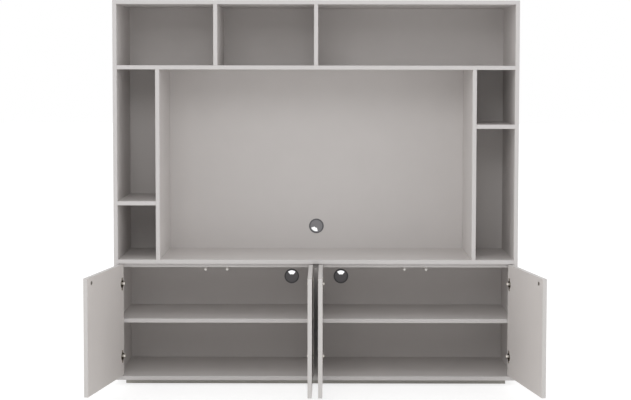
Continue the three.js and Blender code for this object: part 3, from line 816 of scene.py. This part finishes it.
# %% Hinge arms
HOUSING_LENGTH = 52 * MM
HOUSING_WIDTH = 12 * MM
HOUSING_HEIGHT = 10 * MM
HOUSING_WALL = 1.2 * MM
HOUSING_CORNER, HOUSING_INNER_CORNER, HOUSING_RIM = 1.6 * MM, 0.6 * MM, 0.3 * MM
HOUSING_SCREW = (3.2 * MM, 0.9 * MM)
HOUSING_SCREW_SHARES = (0.3, 0.78)
PLATE_THICKNESS = 3 * MM
PLATE_START = 14 * MM
PLATE_LENGTH = 32 * MM
PLATE_WIDTH = 14 * MM
PLATE_CORNER, PLATE_RIM = 2 * MM, 0.5 * MM
WING_LENGTH = 14 * MM
WING_CORNER = 5 * MM
WING_SCREW_SPACING = 32 * MM
MOUNTING_SCREW = (4 * MM, 1.5 * MM)


def housing_channel(inner, top):
    """The housing: a channel of thin wall, open towards the plate, from its inner edges to its top."""
    half, wall = HOUSING_WIDTH / 2, HOUSING_WALL
    outside = [(inner, -half), (top, -half), (top, half), (inner, half)]
    thin, deep = half - wall, top - wall
    inside = [(inner, thin), (deep, thin), (deep, -thin), (inner, -thin)]
    outer, small = HOUSING_CORNER, HOUSING_INNER_CORNER
    channel = rounded_outline(outside + inside, [0, outer, outer, 0, 0, small, small, 0])
    return prism(channel, HOUSING_LENGTH, HOUSING_RIM)


def mounting_plate(start, reach):
    """The plate: a bar with two wings, each corner rounded."""
    middle, wing, half = start + PLATE_LENGTH / 2, WING_LENGTH / 2, PLATE_WIDTH / 2
    cross = [(start, -half), (middle - wing, -half), (middle - wing, -reach), (middle + wing, -reach)]
    cross += [(middle + wing, -half), (start + PLATE_LENGTH, -half)]
    cross += [(x, -y) for x, y in cross[::-1]]
    bar, tip = PLATE_CORNER, WING_CORNER
    plate = rounded_outline(cross, [bar, bar, tip, tip, bar, bar] * 2, steps=5)
    return prism(plate, PLATE_THICKNESS, PLATE_RIM, steps=3)


def arm_shells(low, high):
    """The arm's parts from its solid's box about the pin."""
    along, into, up = X_AXIS, Y_AXIS, Z_AXIS
    face, front = low[0], high[1] - HOUSING_LENGTH
    rise, top, inner = front + ARM_THICKNESS / 2, face + HOUSING_HEIGHT, face + PLATE_THICKNESS
    middle = front + PLATE_START + PLATE_LENGTH / 2
    shells = [
        arm_strip(high[0] - ARM_THICKNESS / 2, rise, top - HOUSING_WALL),
        *eye_and_pin(),
        placed(housing_channel(inner, top), (0, front, 0), along, up, into),
        placed(mounting_plate(front + PLATE_START, high[2]), (face, 0, 0), into, up, along),
    ]
    heads = [(MOUNTING_SCREW, (inner, middle, side * WING_SCREW_SPACING / 2)) for side in (-1, 1)]
    heads += [(HOUSING_SCREW, (top, rise + share * HOUSING_LENGTH, 0)) for share in HOUSING_SCREW_SHARES]
    return shells + [placed(screw_head(*size), spot, into, up, along) for size, spot in heads]


def hinge_origin(pin, node):
    """The point on the pin's axis at the height of the solid's middle."""
    return np.array([pin[0], pin[1], front_of(node)[2]])


for door in DOORS:
    pin, side, _ = door_axes(door)
    for level in LEVELS:
        node = f"hinge_arm_{door}_{level}"
        origin, axes = hinge_origin(pin, node), (side * X_AXIS, Y_AXIS, Z_AXIS)
        parts = arm_shells(*local_box(node, origin, axes))
        make_piece(f"arm_{door}_{level}", [placed(part, origin, *axes) for part in parts], nickel, node)
print(len(DOORS) * len(LEVELS), "hinge arms")

# %% [markdown]
# The cup is let into the door, and its two lugs are screwed to the door's face. It is deep-drawn, so its
# bowl is a line of radii turned about its axis, out and back again with the wall between. A Solidify
# modifier would give the wall as well, but not the flat rim that covers the edge of the bore. Two cheeks in
# the bowl hold the pin.

# %% Hinge cups
CUP_RADIUS = 17.25 * MM
CUP_WALL = 0.9 * MM
CUP_CORNER = 3 * MM
CUP_SEGMENTS = 56
RIM_RADIUS, RIM_LIFT, RIM_CHAMFER = 18.4 * MM, 0.1 * MM, 0.5 * MM
MOUTH_CHAMFER = 0.4 * MM
POLE_RADIUS = 0.3 * MM
LUG_WIDTH, LUG_THICKNESS = 14 * MM, 1.2 * MM
LUG_CORNER, LUG_OVERLAP, LUG_RIM = 5 * MM, 1.5 * MM, 0.35 * MM
LUG_SCREW_SPACING = 48 * MM
CHEEK_GAP, CHEEK_THICKNESS, CHEEK_RIM = 5.6 * MM, 1.6 * MM, 0.2 * MM
CHEEK_BACK, CHEEK_FRONT, CHEEK_TOP = 13 * MM, 4 * MM, 3 * MM
CHEEK_CORNERS = (0.4 * MM, 2 * MM, 2.5 * MM, 4 * MM)


def cup_profile(floor, door_face):
    """The bowl's half section: up its outside, over the rim on the door's face, and down its inside."""
    outer, inner, rim = CUP_RADIUS, CUP_RADIUS - CUP_WALL, door_face + LUG_THICKNESS
    corner, inner_corner = CUP_CORNER, CUP_CORNER - CUP_WALL
    seat = door_face + RIM_LIFT
    return chain(
        (POLE_RADIUS, floor),
        arc((outer - corner, floor + corner), corner, -90, 0, steps=6),
        [(outer, seat), (RIM_RADIUS, seat), (RIM_RADIUS, rim - RIM_CHAMFER), (RIM_RADIUS - RIM_CHAMFER, rim)],
        [(inner + MOUTH_CHAMFER, rim), (inner, rim - MOUTH_CHAMFER)],
        arc((inner - inner_corner, floor + CUP_WALL + inner_corner), inner_corner, 0, -90, steps=6),
        (POLE_RADIUS, floor + CUP_WALL),
    )


def cup_shells(low, high, door_face):
    """The cup's parts from its solid's box about the pin: along the door, through it, up."""
    along, through, up = X_AXIS, Y_AXIS, Z_AXIS
    centre, floor, half = (low[0] + high[0]) / 2, low[1], LUG_WIDTH / 2
    bowl = lathe(cup_profile(floor, door_face), CUP_SEGMENTS, loop=True)
    shells = [placed(bowl, (centre, 0, 0), along, up, through)]
    tab = rectangle(centre - half, centre + half, CUP_RADIUS - LUG_OVERLAP, high[2])
    tab = rounded_outline(tab, [0, 0, LUG_CORNER, LUG_CORNER], steps=6)
    lug = prism(tab, LUG_THICKNESS - RIM_LIFT, LUG_RIM, steps=3)
    wall = rectangle(centre - CHEEK_BACK, CHEEK_FRONT, floor + CUP_WALL / 2, CHEEK_TOP)
    cheek = prism(rounded_outline(wall, CHEEK_CORNERS, steps=5), CHEEK_THICKNESS, CHEEK_RIM)
    for side, start in ((-1, -CHEEK_GAP - CHEEK_THICKNESS), (1, CHEEK_GAP)):
        shells.append(placed(lug, (0, door_face + RIM_LIFT, 0), along, side * up, through))
        spot = (centre, door_face + LUG_THICKNESS, side * LUG_SCREW_SPACING / 2)
        shells.append(placed(screw_head(*MOUNTING_SCREW), spot, along, up, through))
        shells.append(placed(cheek, (0, 0, start), along, through, up))
    return shells


for door in DOORS:
    pin, _, axes = door_axes(door)
    door_face = local_box("door_" + door, pin, axes)[1][1]
    for level in LEVELS:
        node = f"hinge_cup_{door}_{level}"
        origin = hinge_origin(pin, node)
        parts = cup_shells(*local_box(node, origin, axes), door_face)
        make_piece(f"cup_{door}_{level}", [placed(part, origin, *axes) for part in parts], cup_nickel_painted_reflection, node)
print(len(DOORS) * len(LEVELS), "hinge cups")

# %% [markdown]
# A push latch is a plastic tube that hangs under the base's top from a screwed saddle, with a moulded web
# between them. Tube, saddle and web could be joined by a Boolean, but closed shells that overlap look the
# same and keep their own clean faces. The tube is turned. The web's lower side is an arch that stays clear
# of the bore.

# %% Latch bodies
LATCH_RADIUS = 6 * MM
LATCH_BORE_RADIUS = 4.0 * MM
LATCH_BORE_DEPTH = 24 * MM
BORE_CHAMFER = 0.4 * MM
NOSE_ROUNDING, TAIL_ROUNDING = 0.8 * MM, 3 * MM
COLLAR_LENGTH, COLLAR_STEP = 7 * MM, 0.5 * MM
SADDLE_WIDTH, SADDLE_LENGTH, SADDLE_THICKNESS = 18 * MM, 44 * MM, 1.3 * MM
SADDLE_SETBACK = 9 * MM
SADDLE_CORNER, SADDLE_RIM = 3 * MM, 0.3 * MM
NECK_HALF_WIDTH, NECK_ROOT, NECK_ARCH_RADIUS = 5 * MM, 2 * MM, 4.8 * MM
NECK_OVERLAP, NECK_RIM = 0.3 * MM, 0.2 * MM


def barrel_profile(radius, length):
    """The latch's half section: a tube open at the front, with a collar, a round nose and a round tail."""
    bore, depth, slim = LATCH_BORE_RADIUS, LATCH_BORE_DEPTH, radius - COLLAR_STEP
    nose, tail = NOSE_ROUNDING, TAIL_ROUNDING
    return chain(
        [(POLE_RADIUS, depth), (bore, depth), (bore, BORE_CHAMFER), (bore + BORE_CHAMFER, 0)],
        arc((radius - nose, nose), nose, -90, 0),
        [(radius, COLLAR_LENGTH), (slim, COLLAR_LENGTH + COLLAR_STEP)],
        arc((slim - tail, length - tail), tail, 0, 90),
        (POLE_RADIUS, length),
    )


def neck_outline(top):
    """The web seen from the front: upright sides, and an arch that clears the bore."""
    half = NECK_HALF_WIDTH
    rise = math.degrees(math.asin(NECK_ROOT / NECK_ARCH_RADIUS))
    arch = arc((0, 0), NECK_ARCH_RADIUS, 180 - rise, rise, steps=8)
    return chain((-half, NECK_ROOT), arch, (half, NECK_ROOT), (half, top), (-half, top))


for door in DOORS:
    node = "latch_body_" + door
    low, high = corners_of(node)
    front = np.array([front_of(node)[0], low[1], low[2] + LATCH_RADIUS])
    start, top = front + SADDLE_SETBACK * Y_AXIS, high[2] - front[2] - SADDLE_THICKNESS
    barrel = lathe(barrel_profile(LATCH_RADIUS, high[1] - low[1]), segments=40, loop=True)
    plate = rectangle(-SADDLE_WIDTH / 2, SADDLE_WIDTH / 2, 0, SADDLE_LENGTH)
    saddle = prism(rounded_outline(plate, [SADDLE_CORNER] * 4, steps=5), SADDLE_THICKNESS, SADDLE_RIM)
    neck = prism(neck_outline(top + NECK_OVERLAP), SADDLE_LENGTH, NECK_RIM)
    shells = [
        placed(barrel, front, *BACKWARDS),
        placed(saddle, start + top * Z_AXIS, X_AXIS, Y_AXIS, Z_AXIS),
        placed(neck, start, *BACKWARDS),
    ]
    make_piece("latch_" + door, shells, latch_plastic, node)
print(len(DOORS), "latch bodies")

# %% [markdown]
# A shut door rests on the latch's sprung plunger, whose wide dished tip holds a magnet. A cylinder could be
# shaped by hand, but a turned line of radii has every step of the real one in one list.

# %% Plungers
PLUNGER_STEM_RADIUS = 3.7 * MM
TIP_THICKNESS, TIP_ROUNDING = 2.4 * MM, 0.5 * MM
TIP_DISH_RADIUS, TIP_DISH_SLOPE = 2.6 * MM, 0.4 * MM
SHOULDER_CHAMFER, SHOULDER_STEP = 0.3 * MM, 0.2 * MM


def plunger_profile(radius, length):
    """The plunger's half section: a dished wide tip with softened rims, then a slimmer stem."""
    stem, dish, soft, thick = PLUNGER_STEM_RADIUS, TIP_DISH_RADIUS, TIP_ROUNDING, TIP_THICKNESS
    tip = [(POLE_RADIUS, soft), (dish, soft), (dish + TIP_DISH_SLOPE, 0), (radius - soft, 0), (radius, soft)]
    shoulder = [(radius, thick - SHOULDER_CHAMFER), (radius - SHOULDER_CHAMFER, thick)]
    rod = [(stem, thick + SHOULDER_STEP), (stem, length - soft), (stem - soft, length), (POLE_RADIUS, length)]
    return tip + shoulder + rod


for door in DOORS:
    node = "latch_plunger_" + door
    low, high = corners_of(node)
    _, length, width = high - low
    plunger = placed(lathe(plunger_profile(width / 2, length), segments=36), front_of(node), *BACKWARDS)
    make_piece("plunger_" + door, [plunger], latch_plastic, node)
print(len(DOORS), "plungers")

# %% [markdown]
# The magnet pulls on a thin steel disc that a flat screw holds to the door's inner face. A bare disc could
# stand for it, but the real one has a broken rim that catches the light, so it is turned as well.

# %% Strike plates
STRIKE_RIM, STRIKE_BACK_RIM = 0.35 * MM, 0.2 * MM
STRIKE_SCREW = (3.2 * MM, 0.5 * MM)


def strike_profile(radius, thickness):
    """The disc's half section: a small chamfer against the door and a larger one in front."""
    back, rim = STRIKE_BACK_RIM, STRIKE_RIM
    return [(radius - back, 0), (radius, back), (radius, thickness - rim), (radius - rim, thickness)]


for door in DOORS:
    node = "strike_plate_" + door
    pin, _, axes = door_axes(door)
    along, through, up = axes
    low, high = local_box(node, pin, axes)
    width, thickness, _ = high - low
    middle = (low + high) / 2
    spot = pin + np.array([middle[0], low[1], middle[2]]) @ np.array(axes)
    disc = placed(lathe(strike_profile(width / 2, thickness), segments=48), spot, along, up, through)
    head = placed(screw_head(*STRIKE_SCREW), spot + (thickness - HEAD_FOOT) * through, along, up, through)
    make_piece("strike_" + door, [disc, head], dark_zinc, node)
print(len(DOORS), "strike plates")

# %% [markdown]
# A cable grommet is a flanged liner in a 60 mm hole, with a cap that turns in it. The liner could be a tube
# with a ring on it, but its flange, mouth and ledge are one moulding, so one half section is turned.

# %% Grommet liners
LINER_TUBE, LINER_MOUTH, LINER_LEDGE = 29.7 * MM, 28.9 * MM, 27.2 * MM
LINER_FLANGE_DEPTH, LEDGE_DEPTH = 2.0 * MM, 3.3 * MM
LINER_LIP = 1.2 * MM
LINER_MOUTH_CHAMFER, LINER_TAIL_CHAMFER = 0.4 * MM, 0.5 * MM


def liner_profile(radius, depth):
    """The liner's half section from front to back: a round flange, a mouth and a ledge."""
    tube, flange, mouth = LINER_TUBE, LINER_FLANGE_DEPTH, LINER_MOUTH
    tail, chamfer = LINER_TAIL_CHAMFER, LINER_MOUTH_CHAMFER
    return chain(
        arc((radius - LINER_LIP, LINER_LIP), LINER_LIP, -90, 0),
        [(radius, flange), (tube, flange), (tube, depth - tail), (tube - tail, depth)],
        [(LINER_LEDGE, depth), (LINER_LEDGE, LEDGE_DEPTH), (mouth, LEDGE_DEPTH)],
        [(mouth, chamfer), (mouth + chamfer, 0)],
    )


def make_liner(label):
    """A liner in place of its solid, turned about the hole's axis."""
    node = "grommet_liner_" + label
    low, high = corners_of(node)
    width, depth, _ = high - low
    liner = lathe(liner_profile(width / 2, depth), HOLE_SEGMENTS, loop=True)
    make_piece("liner_" + label, [placed(liner, front_of(node), *BACKWARDS)], liner_plastic_painted_shade, node)


print("a tube of", round(2 * LINER_TUBE / MM, 1), "mm in a hole of", round(2 * GROMMET_HOLE_RADIUS / MM, 1))

# %% [markdown]
# The cap has a fan-shaped slot for the cables. A Boolean would cut the slot, but leave the moulded relief of
# the face to a sculptor. Here the skin runs round the slot and round the rim at once: every ring is a blend
# between the slot's outline and the rim's circle, and a height worked out from each point's place gives the
# relief.

# %% Cap slot and relief
SLOT_INNER, SLOT_OUTER = 9.0 * MM, 27.0 * MM
SLOT_HALF_ANGLE = math.radians(42)
SLOT_ARC_POINTS = 60
DISH_DEPTH, DISH_RIM, DISH_SLOPE = 0.5 * MM, 2.0 * MM, 0.8 * MM
GROOVE_DEPTH, GROOVE_HALF_WIDTH, GROOVE_SLOPE = 0.8 * MM, 1.5 * MM, 1.0 * MM
GROOVE_HUB, GROOVE_FADE, GROOVE_RIM = 3 * MM, 5 * MM, 3 * MM
PIP_DEPTH, PIP_RADIUS, PIP_CIRCLE = 0.9 * MM, 2.6 * MM, 20 * MM
PIP_DEGREES = (-145, -90, -35)


def fan_outline(count):
    """Points round the slot, equally spaced: inner arc, side, outer arc, side, about straight up."""
    turn = np.linspace(-SLOT_HALF_ANGLE, SLOT_HALF_ANGLE, SLOT_ARC_POINTS)
    inner = SLOT_INNER * np.column_stack([np.sin(turn), np.cos(turn)])
    outer = SLOT_OUTER * np.column_stack([np.sin(turn), np.cos(turn)])[::-1]
    closed = chain(inner, outer, inner[0])
    run = np.concatenate([[0], np.cumsum(np.linalg.norm(np.diff(closed, axis=0), axis=1))])
    at = np.linspace(0, run[-1], count, endpoint=False)
    return np.column_stack([np.interp(at, run, closed[:, 0]), np.interp(at, run, closed[:, 1])])


def cap_relief(x, y, radius):
    """How deep each point of the face lies below the rim.

    It is the sum of a dish inside the rim, a groove from the hub along each side of the slot, whose depth
    falls off with the distance from that side's line, and three pips, each a paraboloid.
    """
    r = np.hypot(x, y)
    depth = DISH_DEPTH * np.clip((radius - DISH_RIM - r) / DISH_SLOPE, 0, 1)
    for side in (-1, 1):
        ray_x, ray_y = side * math.sin(SLOT_HALF_ANGLE), math.cos(SLOT_HALF_ANGLE)
        forward, aside = x * ray_x + y * ray_y, abs(x * ray_y - y * ray_x)
        groove = np.clip((GROOVE_HALF_WIDTH - aside) / GROOVE_SLOPE, 0, 1)
        groove = groove * np.clip((forward - GROOVE_HUB) / GROOVE_FADE, 0, 1)
        depth += GROOVE_DEPTH * groove * np.clip((radius - GROOVE_RIM - r) / GROOVE_SLOPE, 0, 1)
    for degrees in PIP_DEGREES:
        pip_x, pip_y = arc((0, 0), PIP_CIRCLE, degrees, degrees, steps=0)[0]
        depth += PIP_DEPTH * np.clip(1 - ((x - pip_x) ** 2 + (y - pip_y) ** 2) / PIP_RADIUS**2, 0, 1)
    return depth


print("the slot is", round((SLOT_OUTER - SLOT_INNER) / MM, 1), "mm deep")

# %% [markdown]
# The rings of the cap need a partner on the rim for each point of the slot. Equal angles about the cap's
# centre would crowd them on one side, because the slot is off centre. A ray from the slot's own middle
# through the point spreads them evenly. The niche's cap is turned in its liner, as the photograph has it.

# %% Grommet caps
CAP_POINTS = 220
CAP_RINGS = 46
CAP_ROUNDING, CAP_BACK_ROUNDING = 0.6 * MM, 0.3 * MM
SLOT_TURNS = {"niche": math.radians(-152), "base_left": 0.0, "base_right": 0.0}


def cap_shell(radius, thickness):
    """The cap with its slot straight up: rings blend from the slot to the rim, over the face and back.

    Each ray's length to the rim is the positive root of a quadratic.
    """
    slot = fan_outline(CAP_POINTS)
    middle = np.array([0.0, (SLOT_INNER + SLOT_OUTER) / 2])
    ray = slot - middle
    ray /= np.linalg.norm(ray, axis=1)[:, None]
    reach = -(ray @ middle) + np.sqrt((ray @ middle) ** 2 + radius**2 - middle @ middle)
    rim = middle + ray * reach[:, None]
    share = np.linspace(0, 1, CAP_RINGS)[:, None, None]
    face = slot + (rim * (1 - CAP_ROUNDING / radius) - slot) * share
    front = np.concatenate([face, cap_relief(face[..., 0], face[..., 1], radius)[..., None]], axis=-1)
    flat = [(rim, CAP_ROUNDING), (rim, thickness - CAP_BACK_ROUNDING)]
    flat += [(rim * (1 - CAP_BACK_ROUNDING / radius), thickness), (slot, thickness)]
    rest = [np.column_stack([line, np.full(CAP_POINTS, height)]) for line, height in flat]
    return loft(np.concatenate([front, np.stack(rest)]), loop=True)


def make_cap(label, turn):
    """A cap in place of its solid, turned so that its slot lies where the solid's does."""
    node = "grommet_cap_" + label
    low, high = corners_of(node)
    width, thickness, _ = high - low
    hole = front_of("grommet_liner_" + label)
    across = np.array([math.cos(turn), 0.0, -math.sin(turn)])
    up = np.array([math.sin(turn), 0.0, math.cos(turn)])
    cap = placed(cap_shell(width / 2, thickness), (hole[0], low[1], hole[2]), across, up, Y_AXIS)
    make_piece("cap_" + label, [cap], cap_plastic, node)


for label, turn in SLOT_TURNS.items():
    make_liner(label)
    make_cap(label, turn)
print(len(SLOT_TURNS), "grommets, each a liner and its cap")

# %% [markdown]
# The view transform stays plain, so that a colour renders as it is written.

# %% Colour management
scene.view_settings.view_transform = "Standard"
